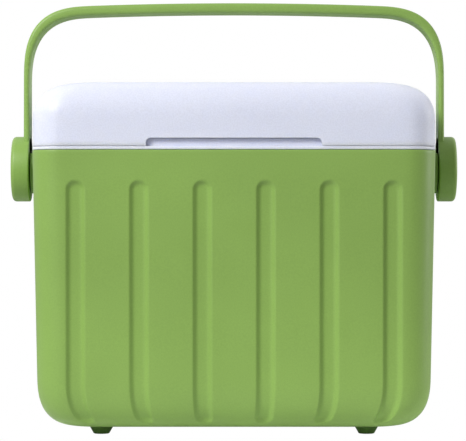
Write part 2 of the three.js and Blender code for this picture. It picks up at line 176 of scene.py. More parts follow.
def skin_faces(rows, count, skip=()):
    """Quads between the rows of a closed-round grid, leaving out (row, column) pairs in skip."""
    faces = []
    for r in range(rows - 1):
        for c in range(count):
            if (r, c) in skip:
                continue
            a, b = r * count + c, r * count + (c + 1) % count
            faces.append((a, b, b + count, a + count))
    return faces


def closed_skin(name, grid):
    """A closed body from a grid whose first and last rows shrink to a point."""
    rows, count = grid.shape[:2]
    vertices = list(grid.reshape(-1, 3))
    faces = skin_faces(rows, count)
    low, high = len(vertices), len(vertices) + 1
    vertices += [grid[0].mean(axis=0), grid[-1].mean(axis=0)]
    last = (rows - 1) * count
    for c in range(count):
        n = (c + 1) % count
        faces.append((low, n, c))
        faces.append((high, last + c, last + n))
    return mesh_object(name, vertices, faces)


def at_mid(points, z):
    """Plan points at a height, moved to the middle of the box."""
    return np.column_stack([points[:, 0], points[:, 1] + MID_Y, np.full(len(points), z)])


def shrunk(row, share):
    """A row of points drawn in towards its own middle."""
    middle = row.mean(axis=0)
    return middle + (row - middle) * share


def smooth_by_angle(piece, degrees):
    piece.data.set_sharp_from_angle(angle=math.radians(degrees))


def bevelled(piece, width, degrees):
    modifier = piece.modifiers.new("soft edges", "BEVEL")
    modifier.width = width
    modifier.segments = 2
    modifier.limit_method = "ANGLE"
    modifier.angle_limit = math.radians(degrees)
    return piece


# ---------------------------------------------------------------- tub


def tub_wall(z, offset=0):
    """Half the width and half the depth of the tub at a height, inside its skin by an offset."""
    lean = (RIM_Z - z) * DRAFT
    return HALF_WIDTH - lean - offset, HALF_DEPTH - lean - offset


def tub_row(z, inset, offset, columns, corner_steps):
    wall = tub_wall(z, offset)
    half = wall[0] - inset, wall[1] - inset
    squeeze = half[0] / wall[0], half[1] / wall[1]
    radius = corner_radius(offset, inset)
    return at_mid(ring(*half, radius, columns, corner_steps, squeeze), z)


def tub_rows(offset, columns, corner_steps, sweep_steps, heights, top):
    """Rows of a cup from the middle of its base to its top, with their heights."""
    rows = []
    z_flat = BASE_Z + offset
    flat = tub_row(z_flat, SWEEP["across"] - offset, offset, columns, corner_steps)
    centre = np.array([0, MID_Y, z_flat])
    for share in (0.05, 0.3, 0.55, 0.8):
        rows.append(centre + (flat - centre) * share)
    for k in range(sweep_steps + 1):
        inward, along = sweep_at(1 - k / sweep_steps, SWEEP["power"])
        z = BASE_Z + SWEEP["up"] - (SWEEP["up"] - offset) * along
        rows.append(tub_row(z, (SWEEP["across"] - offset) * inward, offset, columns, corner_steps))
    for z in heights:
        rows.append(tub_row(z, 0, offset, columns, corner_steps))
    rows.append(tub_row(top, 0, offset, columns, corner_steps))
    return np.array(rows)


def flute_depth(grid, columns, corner_steps):
    """How deep each point of the outer skin is pressed in, from rounded slots on the four sides."""
    along, side = side_values(columns, corner_steps)
    # height measured along the skin at the middle of the front, so that the ends stay round
    middle = int(np.argmin(np.abs(columns[0])))
    line = grid[:, middle]
    length = np.concatenate([[0], np.cumsum(np.linalg.norm(np.diff(line, axis=0), axis=1))])
    top = np.interp(FLUTE["top"], line[:, 2], length)
    end = np.interp(FLUTE["end"], line[:, 2], length)
    reach = FLUTE["half"]
    deep = np.zeros(grid.shape[:2])
    for turn in range(4):
        for centre in (FRONT_FLUTES, SIDE_FLUTES)[turn % 2]:
            here = (side == turn) & ~np.isnan(along)
            sideways = np.where(here, np.abs(along - centre), 1.0)  # a metre off: no flute there
            past = np.maximum(0, np.maximum(length - (top - reach), (end + reach) - length))
            inside = reach - np.hypot(past[:, None], sideways[None, :])
            t = np.clip(inside / FLUTE["wall"], 0, 1)
            # steep near its outer edge, then a long easing onto the flat bottom
            deep = np.maximum(deep, FLUTE["depth"] * (6 * t**2 - 8 * t**3 + 3 * t**4))
    return deep


def make_tub_skin():
    columns = columns_for(FRONT_FLUTES, SIDE_ENDS[0]), columns_for(SIDE_FLUTES, SIDE_ENDS[1])
    corner_steps = 14
    arch = FLUTE["top"] - FLUTE["half"] - 3 * MM
    heights = list(np.linspace(BASE_Z + SWEEP["up"] + 8 * MM, arch, 8))
    step = 0.7 * MM
    heights += list(np.arange(arch + step, FLUTE["top"] + 1 * MM, step))
    heights += [215 * MM, 222 * MM, 228 * MM]
    lip = 0.7 * MM
    outer = tub_rows(0, columns, corner_steps, 46, heights, RIM_Z - lip)
    outer = outer - grid_normals(outer) * flute_depth(outer, columns, corner_steps)[:, :, None]
    rounding = []
    for a in np.radians([30, 60, 90]):
        z = RIM_Z - lip + lip * math.sin(a)
        rounding.append(tub_row(z, 0, lip * (1 - math.cos(a)), columns, corner_steps))
    thick = SKIN + FLUTE["depth"] + 0.2 * MM
    inner_heights = [100 * MM, 180 * MM]
    inner = tub_rows(thick, columns, corner_steps, 5, inner_heights, RIM_Z)[::-1]
    return closed_skin("tub_skin", np.concatenate([outer, rounding, inner]))


def arc_points(centre, radius, start, stop, steps):
    """Points of an arc in degrees, both ends included."""
    angles = np.radians(np.linspace(start, stop, steps + 1))
    return [(centre[0] + radius * math.cos(a), centre[1] + radius * math.sin(a)) for a in angles]


def softened(outline, radius, steps=4):
    """A polyline whose inner corners are rounded off, as a list of points."""
    points = [Vector(p) for p in outline]
    out = [points[0]]
    for before, corner, after in zip(points, points[1:], points[2:]):
        a, b = before - corner, after - corner
        reach = min(radius, a.length * 0.49, b.length * 0.49)
        first, last = corner + a.normalized() * reach, corner + b.normalized() * reach
        for k in range(steps + 1):
            t = k / steps
            out.append(first * (1 - t) ** 2 + corner * 2 * t * (1 - t) + last * t * t)
    out.append(points[-1])
    return [tuple(p) for p in out]


PLAIN_COLUMNS = (columns_for([], SIDE_ENDS[0], [x * MM for x in (-90, -45, 0, 45, 90)]),
                 columns_for([], SIDE_ENDS[1], [y * MM for y in (-60, -30, 0, 30, 60)]))
LINER_OFFSET = 13 * MM
UPSTAND = {"offset": 4.5 * MM, "thick": 2.5 * MM, "top": BAND_HIGH.z}
BAND_BOTTOM = RIM_Z + 0.3 * MM
BAND_TOP = 233.9 * MM


def make_liner():
    """The white liner: cavity, rim band and the upstand that shows in the finger recess."""
    steps = 12
    inner = LINER_OFFSET + SKIN
    lip = UPSTAND["offset"] + UPSTAND["thick"]
    profile = softened([
        (LINER_OFFSET, BAND_BOTTOM - 4 * MM), (LINER_OFFSET, BAND_BOTTOM), (0, BAND_BOTTOM),
        (0, BAND_TOP), (UPSTAND["offset"], BAND_TOP), (UPSTAND["offset"], UPSTAND["top"]),
        (lip, UPSTAND["top"]), (lip, BAND_TOP), (inner, BAND_TOP), (inner, BAND_TOP - 6 * MM),
    ], 0.5 * MM)
    rim = []
    for offset, z in profile:
        half = HALF_WIDTH - offset, HALF_DEPTH - offset
        rim.append(at_mid(ring(*half, corner_radius(offset), PLAIN_COLUMNS, steps), z))
    top = 224 * MM
    outside = tub_rows(LINER_OFFSET, PLAIN_COLUMNS, steps, 10, [120 * MM, 200 * MM], top)
    inner_heights = [90 * MM, 150 * MM, 200 * MM]
    inside = tub_rows(inner, PLAIN_COLUMNS, steps, 20, inner_heights, top)[::-1]
    return closed_skin("liner_skin", np.concatenate([outside, rim, inside]))


# ---------------------------------------------------------------- lid

LID_SIZE = {"half_x": LID_HIGH.x, "half_y": (LID_HIGH.y - LID_LOW.y) / 2}
LID_SWEEP = {"across": 40 * MM, "along": 24 * MM, "down": 32 * MM, "power": 2.45}
LID_FLANGE_Z = 241 * MM
PLUG = {"offset": 17 * MM, "bottom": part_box("lid_liner")[0].z}
FINGER = {"half": 70.5 * MM, "top": 240.7 * MM, "radius": 4 * MM}


def lid_row(z, inset=0, share=0, columns=PLAIN_COLUMNS, steps=12):
    """A row round the lid; the share says how far along its swept top edge it lies."""
    inward, _ = sweep_at(share, LID_SWEEP["power"])
    half_x = LID_SIZE["half_x"] - inset - LID_SWEEP["across"] * inward
    half_y = LID_SIZE["half_y"] - inset - LID_SWEEP["along"] * inward
    squeeze = half_x / LID_SIZE["half_x"], half_y / LID_SIZE["half_y"]
    return at_mid(ring(half_x, half_y, corner_radius(inset), columns, steps, squeeze), z)


def slot_columns():
    """Columns of the lid's front: the slot's corners are rounded by columns close together."""
    half, radius = FINGER["half"], FINGER["radius"]
    arc = [half - radius + radius * math.sin(a) for a in np.radians([0, 18, 36, 54, 72, 90])]
    near = arc + [half + 1.2 * MM, half + 3 * MM, half - radius - 3 * MM]
    plain = [x * MM for x in (0, 12, 24, 36, 48, 60, 82, 95, 108, 122)]
    return columns_for([], SIDE_ENDS[0], [s * x for x in near + plain for s in (-1, 1)])


def slot_top(x):
    """Height of the slot's roof over a distance from its middle, or None outside it."""
    half, radius = FINGER["half"], FINGER["radius"]
    over = max(0, abs(x) - (half - radius))
    if over > radius + 1e-6:
        return None
    return FINGER["top"] - radius + math.sqrt(max(0, radius**2 - over**2))


def make_lid_skin():
    """The white lid, with the finger slot left out of its front skirt."""
    columns = slot_columns(), PLAIN_COLUMNS[1]
    steps = 14
    bottom, lip = LID_LOW.z - 0.2 * MM, 0.4 * MM
    shoulder = FINGER["top"] - FINGER["radius"]
    rows = [lid_row(bottom + lip * (1 - math.cos(a)), lip * (1 - math.sin(a)), 0, columns, steps)
            for a in np.radians([0, 30, 60, 90])]
    slot_row = len(rows)
    rows.append(lid_row(shoulder, 0, 0, columns, steps))
    heights = [FINGER["top"] + z * MM for z in (0.5, 1.1, 2.1, 4, 7, 10)]
    rows += [lid_row(z, 0, 0, columns, steps) for z in heights]
    level = LID_HIGH.z - LID_SWEEP["down"]
    sweep_steps = 32
    for k in range(sweep_steps + 1):
        share = k / sweep_steps
        _, along = sweep_at(share, LID_SWEEP["power"])
        rows.append(lid_row(level + LID_SWEEP["down"] * along, 0, share, columns, steps))
    edge = rows[-1]
    centre = np.array([0, MID_Y, LID_HIGH.z])
    rows += [centre + (edge - centre) * share for share in (0.85, 0.6, 0.35, 0.05)]
    grid = np.array(rows)
    front = columns[0]
    skip = set()
    for c, x in enumerate(front):
        roof = slot_top(x)
        if roof is not None:
            grid[slot_row, c, 2] = roof
        if c + 1 < len(front) and slot_top((x + front[c + 1]) / 2) is not None:
            skip |= {(r, c) for r in range(slot_row)}
    count = grid.shape[1]
    faces = skin_faces(len(grid), count, skip)
    vertices = list(grid.reshape(-1, 3)) + [centre]
    last = (len(grid) - 1) * count
    faces += [(len(vertices) - 1, last + c, last + (c + 1) % count) for c in range(count)]
    lid = mesh_object("lid_skin", vertices, faces)
    drop_loose(lid)
    wall = lid.modifiers.new("wall", "SOLIDIFY")
    wall.thickness = SKIN
    wall.offset = -1
    wall.use_even_offset = True
    return bevelled(lid, 0.35 * MM, 50)


def drop_loose(piece):
    """Removes the points that no face uses."""
    work = bmesh.new()
    work.from_mesh(piece.data)
    bmesh.ops.delete(work, geom=[v for v in work.verts if not v.link_faces], context="VERTS")
    work.to_mesh(piece.data)
    work.free()


def make_lid_liner():
    """The underside of the lid: a flange inside the skirt and a plug that drops into the tub."""
    inset = SKIN + 0.3 * MM
    top = LID_FLANGE_Z + SKIN
    outline = softened([
        (PLUG["offset"] + 9 * MM, PLUG["bottom"]), (PLUG["offset"], PLUG["bottom"]),
        (PLUG["offset"], LID_FLANGE_Z), (inset, LID_FLANGE_Z), (inset, top),
        (PLUG["offset"] + SKIN, top), (PLUG["offset"] + SKIN, PLUG["bottom"] + SKIN),
        (PLUG["offset"] + SKIN + 6 * MM, PLUG["bottom"] + SKIN),
    ], 1.5 * MM)
    rows = [lid_row(z, offset) for offset, z in outline]
    shares = (0.05, 0.4, 0.75)
    start = [shrunk(rows[0], share) for share in shares]
    end = [shrunk(rows[-1], share) for share in shares[::-1]]
    return closed_skin("lid_lining", np.array(start + rows + end))


# ---------------------------------------------------------------- turned pieces


AXES = {
    "x": (Vector((0, 1, 0)), Vector((0, 0, 1)), Vector((1, 0, 0))),
    "z": (Vector((1, 0, 0)), Vector((0, 1, 0)), Vector((0, 0, 1))),
}
ON_AXIS = 1e-7


def lathe(name, profile, axis, steps, place=(0, 0, 0)):
    """A piece turned from (radius, position) pairs: a closed loop, or a line from axis to axis."""
    u, v, w = AXES[axis]
    work = bmesh.new()
    turns = [2 * math.pi * k / steps for k in range(steps)]
    rings = []
    for radius, position in profile:
        middle = w * position
        if radius < ON_AXIS:
            rings.append([work.verts.new(middle)] * steps)
            continue
        spokes = [(u * math.cos(t) + v * math.sin(t)) * radius for t in turns]
        rings.append([work.verts.new(middle + spoke) for spoke in spokes])
    loop = profile[0][0] > ON_AXIS
    pairs = list(zip(rings, rings[1:] + rings[:1])) if loop else list(zip(rings, rings[1:]))
    for near, far in pairs:
        for k in range(steps):
            n = (k + 1) % steps
            corners = []
            for vert in (near[k], near[n], far[n], far[k]):
                if vert not in corners:
                    corners.append(vert)
            if len(corners) > 2:
                work.faces.new(corners)
    bmesh.ops.recalc_face_normals(work, faces=work.faces)
    bmesh.ops.translate(work, verts=work.verts, vec=Vector(place))
    piece = object_from(work, name)
    piece.data.shade_smooth()
    smooth_by_angle(piece, 40)
    return piece


def at_pivot(name, outline, side, steps):
    """A piece turned about the handle's axis, on the left (-1) or right (1) of the box."""
    return lathe(name, [(r, side * x) for r, x in outline], "x", steps, (0, MID_Y, PIVOT_Z))


def collar(bore, radius, start, stop, soft):
    """The outline of a ring, or of a pin if it has no bore, with its outer edges broken."""
    return [(bore, start), (radius - soft, start), (radius, start + soft),
            (radius, stop - soft), (radius - soft, stop), (bore, stop)]


def merged(name, pieces):
    """One object from several, as separate solids of one mesh."""
    work = bmesh.new()
    for piece in pieces:
        work.from_mesh(piece.data)
        bpy.data.objects.remove(piece)
    return object_from(work, name)


BOSS = {"radius": 20.5 * MM, "out": 171.3 * MM, "bore": 3.4 * MM}
SLEEVE = {"radius": 12 * MM, "out": 181.6 * MM}


def make_boss(name, side):
    """The round boss on the end wall, flared where it meets the wall and cut level with the rim."""
    wall = tub_wall(PIVOT_Z)[0] + 0.3 * MM
    flare, edge = 1.2 * MM, 0.6 * MM
    radius, out = BOSS["radius"], BOSS["out"]
    outline = [(BOSS["bore"], wall), (radius + flare, wall)]
    outline += [(radius + flare - flare * math.sin(a), wall + flare * (1 - math.cos(a)))
                for a in np.radians([30, 60, 90])]
    outline += arc_points((radius - edge, out - edge), edge, 0, 90, 4)
    outline += [(BOSS["bore"], out)]
    boss = at_pivot(f"boss_{name}", outline, side, 96)
    cut_above(boss, RIM_Z - 0.2 * MM)
    return boss


def make_sleeve(name, side):
    """The bearing sleeve between the boss and the washer."""
    start = BOSS["out"] + 0.3 * MM
    outline = collar(BOSS["bore"], SLEEVE["radius"], start, SLEEVE["out"], 0.5 * MM)
    return at_pivot(f"sleeve_{name}", outline, side, 64)


def cut_above(piece, height):
    """Cuts a piece off level and closes the cut."""
    work = bmesh.new()
    work.from_mesh(piece.data)
    geometry = work.verts[:] + work.edges[:] + work.faces[:]
    cut = bmesh.ops.bisect_plane(
        work, geom=geometry, plane_co=(0, 0, height), plane_no=(0, 0, 1), clear_outer=True)
    edges = [e for e in cut["geom_cut"] if isinstance(e, bmesh.types.BMEdge)]
    bmesh.ops.holes_fill(work, edges=edges)
    work.to_mesh(piece.data)
    work.free()


# ---------------------------------------------------------------- handle

STRAP = {"in": 172.2 * MM, "out": 177 * MM, "half": 15 * MM, "bar": 8.3 * MM, "foot": 228 * MM,
         "rounding": 3 * MM}
# the heights where the arms start to bend: outside, then inside
BEND = {"start": 120 * MM, "level": (292 * MM, 286 * MM), "crown": 2.2 * MM, "power": 2.9,
        "steps": 34}
HUB = {"radius": 27.4 * MM, "in": 172.2 * MM, "out": 187.1 * MM, "bore": 12.4 * MM,
       "web": 181.2 * MM, "recess": 20.3 * MM}


def strap_edge(out, top, level):
    """Half of the strap's outline, from the middle of the bar down to the foot of an arm."""
    start, crown, power, steps = BEND["start"], BEND["crown"], BEND["power"], BEND["steps"]
    reach = out - start
    drop = top - level - crown * (out / start) ** 2

    def height(x):
        over = max(0, (x - start) / reach)
        fall = drop * (1 - max(0, 1 - over**power) ** (1 / power))
        return top - crown * (x / start) ** 2 - fall

    bar = [start * k / 14 for k in range(14)]
    turns = [k / steps * math.pi / 2 for k in range(steps + 1)]
    bend = [start + reach * math.sin(turn) ** (2 / power) for turn in turns]
    arm = np.linspace(level, STRAP["foot"], 12)[1:]
    return [(x, height(x)) for x in bar + bend] + [(out, z) for z in arm]


def make_strap():
    """The bar and both arms: one rounded section carried along the strap from left to right."""
    outer = strap_edge(STRAP["out"], STRAP_TOP, BEND["level"][0])
    inner = strap_edge(STRAP["in"], STRAP_TOP - STRAP["bar"], BEND["level"][1])
    right = list(zip(outer, inner))
    left = [((-a, b), (-c, d)) for (a, b), (c, d) in right][:0:-1]
    half, flat = STRAP["half"], 8 * MM
    rows = []
    for (ox, oz), (ix, iz) in left + right:
        out_point, in_point = Vector((ox, 0, oz)), Vector((ix, 0, iz))
        middle, thick = (out_point + in_point) / 2, (out_point - in_point).length / 2
        direction = (out_point - in_point).normalized()
        corner = min(STRAP["rounding"], thick * 0.85)
        section = []
        for sy, st, start in ((1, 1, 0), (-1, 1, 90), (-1, -1, 180), (1, -1, 270)):
            centre = sy * (half - corner), st * (thick - corner)
            points = arc_points(centre, corner, start, start + 90, 5)
            if sy * st > 0:
                points += [(y, st * thick) for y in (st * flat, 0, -st * flat)]
            section += [middle + direction * t + Vector((0, y + MID_Y, 0)) for y, t in points]
        rows.append(section)
    count = len(rows[0])
    vertices = [v for row in rows for v in row]
    faces = skin_faces(len(rows), count)
    faces += [tuple(range(count))[::-1], tuple(range(len(vertices) - count, len(vertices)))]
    strap = mesh_object("strap", vertices, faces)
    face_outwards(strap)
    return strap


def face_outwards(piece):
    """Turns every face of a closed piece outwards."""
    work = bmesh.new()
    work.from_mesh(piece.data)
    bmesh.ops.recalc_face_normals(work, faces=work.faces)
    work.to_mesh(piece.data)
    work.free()


def make_hub(side):
    """The round end of an arm, with a bore for the sleeve and a recess for the cover."""
    radius, low, high = HUB["radius"], HUB["in"], HUB["out"]
    inner, outer, soft = 1 * MM, 3.2 * MM, 0.6 * MM
    outline = [(HUB["bore"], low), (radius - inner, low)]
    outline += arc_points((radius - inner, low + inner), inner, -90, 0, 6)[1:]
    outline += arc_points((radius - outer, high - outer), outer, 0, 90, 9)
    outline += arc_points((HUB["recess"] + soft, high - soft), soft, 90, 180, 4)
    outline += [(HUB["recess"], HUB["web"]), (HUB["bore"], HUB["web"])]
    return at_pivot(f"hub_{side}", outline, side, 128)


def make_handle():
    strap = make_strap()
    hubs = [make_hub(side) for _, side in SIDES]
    handle = merged("strap_handle", [strap] + hubs)
    smooth_by_angle(handle, 40)
    return handle


def make_hub_cover(name, side):
    """A pressed-in cover with a shallow dish and a raised middle."""
    rim, high, seat = HUB["recess"] - 0.3 * MM, HUB["out"], HUB["web"] + 0.3 * MM
    edge, wall, under = 0.8 * MM, rim - 1.8 * MM, high - 2.6 * MM
    dish, raised = high - 0.9 * MM, high - 0.5 * MM
    outline = [(0, under), (wall, under), (wall, seat), (rim, seat)]
    outline += arc_points((rim - edge, high - edge), edge, 0, 90, 4)
    outline += [(rim - 2.4 * MM, high), (rim - 3.4 * MM, dish), (8 * MM, dish)]
    outline += [(7 * MM, raised), (0, raised)]
    return at_pivot(f"hub_cover_{name}", outline, side, 96)


# ---------------------------------------------------------------- feet, hinges and fasteners

FOOT_NAMES = ("front_left", "front_right", "rear_left", "rear_right")
SMALL_SCREW = {"shank": 1.5 * MM, "head": 3.1 * MM, "rise": 1.6 * MM, "length": 7 * MM}
BIG_SCREW = {"shank": 3 * MM, "head": 6 * MM, "rise": 2 * MM}
THREAD = {"pitch": 0.9 * MM, "crest": 0.1 * MM, "root": 0.5 * MM, "waist": 0.78}


def centre_of(node):
    low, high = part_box(node)
    return (low + high) / 2


def make_foot(name):
    """A tapered foot with a rounded sole and a well for its screw."""
    low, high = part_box(f"foot_{name}")
    centre = (low + high) / 2
    top, top_radius = high.z, (high.x - low.x) / 2
    sole, edge, well, well_top, hole = 7 * MM, 1.6 * MM, 3.6 * MM, 3 * MM, 1.9 * MM
    outline = [(well, 0), (sole - edge, 0)]
    outline += arc_points((sole - edge, edge), edge, -90, -14, 5)[1:]
    outline += [(top_radius - 0.25 * MM, top - 1 * MM), (top_radius, top - 0.5 * MM)]
    outline += [(top_radius, top), (hole, top), (hole, well_top), (well, well_top)]
    return lathe(f"rubber_foot_{name}", outline, "z", 64, (centre.x, centre.y, 0))


def screw_mesh(shank, head, rise, length):
    """A pan-head screw along +Z with a cross recess; the underside of its head is at 0."""
    profile = [(0, -length), (shank * 0.5, -length), (shank, -length + shank)]
    for k in range(int((length - shank) / THREAD["pitch"])):
        z = -length + shank + k * THREAD["pitch"]
        profile += [(shank, z + THREAD["crest"]), (shank * THREAD["waist"], z + THREAD["root"])]
    profile += [(shank, 0), (head, 0), (head, rise * 0.35)]
    for a in np.radians([20, 40, 60, 80]):
        profile.append((head * math.cos(a), rise * (0.35 + 0.65 * math.sin(a))))
    profile += [(0, rise)]
    body = lathe("screw", profile, "z", 32)
    cutter = bmesh.new()
    for turn in (0, 90):
        matrix = Matrix.Rotation(math.radians(turn), 4, "Z") @ Matrix.Translation((0, 0, rise))
        size = Matrix.Diagonal((head * 1.15, head * 0.24, rise * 1.1, 1))
        bmesh.ops.create_cube(cutter, size=1, matrix=matrix @ size)
    cross = object_from(cutter, "cross")
    cut = body.modifiers.new("recess", "BOOLEAN")
    cut.object = cross
    cut.operation = "DIFFERENCE"
    cut.solver = "EXACT"
    cut.use_self = True
    applied = evaluated_mesh(body)
    bpy.data.objects.remove(cross)
    bpy.data.objects.remove(body)
    applied.set_sharp_from_angle(angle=math.radians(35))
    return applied


def placed(name, mesh, matrix):
    """A copy of a mesh, moved to its place."""
    piece = linked(name, mesh.copy())
    piece.data.transform(matrix)
    return piece


LEAF = {"half": 15 * MM, "thick": 2 * MM, "reach": 24 * MM, "corner": 3 * MM}
BARREL = {"radius": 3.1 * MM, "bore": 1.8 * MM, "knuckle": 5 * MM, "gap": 0.3 * MM,
          "soft": 0.3 * MM, "pin": 1.5 * MM}


def make_leaf(name, centre_x, up, spans):
    """A hinge leaf with knuckles. up is 1 for the lid's leaf and -1 for the tub's."""
    back = MID_Y + HALF_DEPTH + 0.25 * MM
    near, far = (BARREL["radius"] + BARREL["gap"]), LEAF["reach"]
    half, corner = LEAF["half"], LEAF["corner"]
    outline = [(-half, near), (half, near)]
    outline += arc_points((half - corner, far - corner), corner, 0, 90, 6)
    outline += arc_points((corner - half, far - corner), corner, 90, 180, 6)
    work = bmesh.new()
    base = [work.verts.new((centre_x + x, back, HINGE_Z + up * z)) for x, z in outline]
    face = work.faces.new(base)
    lifted = bmesh.ops.extrude_face_region(work, geom=[face])
    moved = [v for v in lifted["geom"] if isinstance(v, bmesh.types.BMVert)]
    bmesh.ops.translate(work, verts=moved, vec=(0, LEAF["thick"], 0))
    bmesh.ops.recalc_face_normals(work, faces=work.faces)
    plate = bevelled(object_from(work, name), 0.4 * MM, 30)
    flatten_modifiers(plate)
    pieces = [plate]
    for start, stop in spans:
        outline = collar(BARREL["bore"], BARREL["radius"], start, stop, BARREL["soft"])
        pieces.append(lathe("knuckle", outline, "x", 40, (centre_x, HINGE_Y, HINGE_Z)))
        pieces.append(web_of(centre_x + start, centre_x + stop, back, up, near))
    leaf = merged(name, pieces)
    smooth_by_angle(leaf, 35)
    return leaf


def web_of(x0, x1, back, up, near):
    """The short web that joins a knuckle to its leaf, curved in towards the barrel."""
    soft, front = BARREL["soft"], back + LEAF["thick"]
    section = [(back, near + 1.5 * MM), (back, 0.6 * MM), (HINGE_Y - 1.9 * MM, 0.6 * MM),
               (front, near - 0.4 * MM), (front, near + 1.5 * MM)]
    work = bmesh.new()
    rows = []
    for x in (x0 + soft, x1 - soft):
        rows.append([work.verts.new((x, y, HINGE_Z + up * z)) for y, z in section])
    for k in range(len(section)):
        n = (k + 1) % len(section)
        work.faces.new((rows[0][k], rows[0][n], rows[1][n], rows[1][k]))
    work.faces.new(rows[0])
    work.faces.new(rows[1])
    bmesh.ops.recalc_face_normals(work, faces=work.faces)
    return object_from(work, "web")


def flatten_modifiers(piece):
    mesh = evaluated_mesh(piece)
    piece.modifiers.clear()
    piece.data = mesh


# ---------------------------------------------------------------- materials


def linear(red, green, blue):
    """A colour given as 0 to 255 display values, in linear light."""
    def channel(v):
        v = v / 255
        return v / 12.92 if v <= 0.04045 else ((v + 0.055) / 1.055) ** 2.4
    return channel(red), channel(green), channel(blue), 1


def add_node(tree, kind, **settings):
    node = tree.nodes.new(kind)
    for key, value in settings.items():
        if key in node.inputs:
            node.inputs[key].default_value = value
        else:
            setattr(node, key, value)
    return node


def new_material(name):
    material = bpy.data.materials.new(name)
    material.use_nodes = True
    tree = material.node_tree
    shader = tree.nodes["Principled BSDF"]
    place = tree.nodes.new("ShaderNodeTexCoord")
    return material, tree, shader, place.outputs["Object"]


def noise(tree, place, scale, detail=3, roughness=0.5):
    node = add_node(tree, "ShaderNodeTexNoise", Scale=scale, Detail=detail, Roughness=roughness)
    tree.links.new(place, node.inputs["Vector"])
    return node.outputs["Fac"]


def map_range(tree, value, source, target):
    """A value carried from one range to another."""
    node = tree.nodes.new("ShaderNodeMapRange")
    ends = zip(("From Min", "From Max", "To Min", "To Max"), (*source, *target))
    for name, end in ends:
        node.inputs[name].default_value = end
    tree.links.new(value, node.inputs["Value"])
    return node.outputs["Result"]


def bump(tree, height, strength, distance, before=None):
    """A bump from a height, on top of another bump's normal where one is given."""
    node = add_node(tree, "ShaderNodeBump", Strength=strength, Distance=distance)
    tree.links.new(height, node.inputs["Height"])
    if before:
        tree.links.new(before, node.inputs["Normal"])
    return node.outputs["Normal"]


def ramp(tree, value, stops):
    node = tree.nodes.new("ShaderNodeValToRGB")
    tree.links.new(value, node.inputs["Fac"])
    elements = node.color_ramp.elements
    while len(elements) < len(stops):
        elements.new(0.5)
    for element, (position, colour) in zip(elements, stops):
        element.position = position
        element.color = colour
    return node.outputs["Color"]


def blend_colour(tree, kind, share, first, second):
    node = tree.nodes.new("ShaderNodeMix")
    node.data_type = "RGBA"
    node.blend_type = kind
    for socket, value in (("Factor", share), ("A", first), ("B", second)):
        target = next(i for i in node.inputs if i.name == socket and i.enabled)
        if isinstance(value, bpy.types.NodeSocket):
            tree.links.new(value, target)
        else:
            target.default_value = value
    return next(o for o in node.outputs if o.enabled)


def edge_share(tree, low, high):
    """1 on convex edges and 0 on flat surfaces."""
    geometry = tree.nodes.new("ShaderNodeNewGeometry")
    return map_range(tree, geometry.outputs["Pointiness"], (low, high), (0, 1))


def moulded(name, colour, grain=0.12, gloss=(0.38, 0.5), mottle=0.05, wear_and_sheen=None, depth=0):
    """Moulded plastic: slow colour drift, a fine grain, faint scuffs, and paler edges, which are
    edge wear and a painted highlight.
    """
    material, tree, shader, place = new_material(name)
    tone = np.array(linear(*colour))

    def shade(factor):
        return tuple(np.append(np.clip(tone[:3] * factor, 0, 1), 1))

    stops = [(0.3, shade(1 - mottle)), (0.7, shade(1 + mottle))]
    drift = ramp(tree, noise(tree, place, 9, 3), stops)
    stops = [(0.35, (0.93, 0.93, 0.93, 1)), (0.65, (1, 1, 1, 1))]
    specks = ramp(tree, noise(tree, place, 900, 2), stops)
    colour_out = blend_colour(tree, "MULTIPLY", 1.0, drift, specks)
    # convex edges turn paler: edge wear and a painted highlight in one colour
    pale = wear_and_sheen or shade(1.35)
    colour_out = blend_colour(tree, "MIX", edge_share(tree, 0.53, 0.62), colour_out, pale)
    tree.links.new(colour_out, shader.inputs["Base Color"])

    scuffs = map_range(tree, noise(tree, place, 45, 4, 0.6), (0.3, 0.7), gloss)
    tree.links.new(scuffs, shader.inputs["Roughness"])

    waves = bump(tree, noise(tree, place, 60, 2), 0.05, 0.6 * MM)
    grains = bump(tree, noise(tree, place, 2600, 2, 0.6), grain, 0.1 * MM, waves)
    tree.links.new(grains, shader.inputs["Normal"])
    shader.inputs["IOR"].default_value = 1.49
    if depth:
        shader.inputs["Subsurface Weight"].default_value = 1
        shader.inputs["Subsurface Scale"].default_value = depth
        shader.inputs["Subsurface Radius"].default_value = (1, 0.95, 0.9)
    shader.inputs["Specular IOR Level"].default_value = 0.45
    return material


def metal(name, colour, roughness):
    """Plated steel with fine turning marks and a faint cloudiness."""
    material, tree, shader, place = new_material(name)
    tone = np.array(linear(*colour))
    dull = tuple(np.append(tone[:3] * 0.8, 1))
    cloud = ramp(tree, noise(tree, place, 300, 3), [(0.3, dull), (0.7, tuple(tone))])
    tree.links.new(cloud, shader.inputs["Base Color"])
    span = roughness - 0.08, roughness + 0.12
    wear_and_sheen = map_range(tree, noise(tree, place, 700, 2), (0, 1), span)
    tree.links.new(wear_and_sheen, shader.inputs["Roughness"])
    marks = bump(tree, noise(tree, place, 2000, 2), 0.1, 0.1 * MM)
    tree.links.new(marks, shader.inputs["Normal"])
    shader.inputs["Metallic"].default_value = 1
    return material


def cellular(name, colour):
    """Rigid insulation foam, with open cells."""
    material, tree, shader, place = new_material(name)
    tone = np.array(linear(*colour))
    cells = add_node(tree, "ShaderNodeTexVoronoi", Scale=700)
    tree.links.new(place, cells.inputs["Vector"])
    # the cell pits are darker: painted shade in the hollows the bump makes
    stops = [(0.1, tuple(np.append(tone[:3] * 0.7, 1))), (0.5, tuple(tone))]
    tree.links.new(ramp(tree, cells.outputs["Distance"], stops), shader.inputs["Base Color"])
    pits = bump(tree, cells.outputs["Distance"], 0.6, 0.4 * MM)
    tree.links.new(pits, shader.inputs["Normal"])
    shader.inputs["Roughness"].default_value = 0.95
    return material


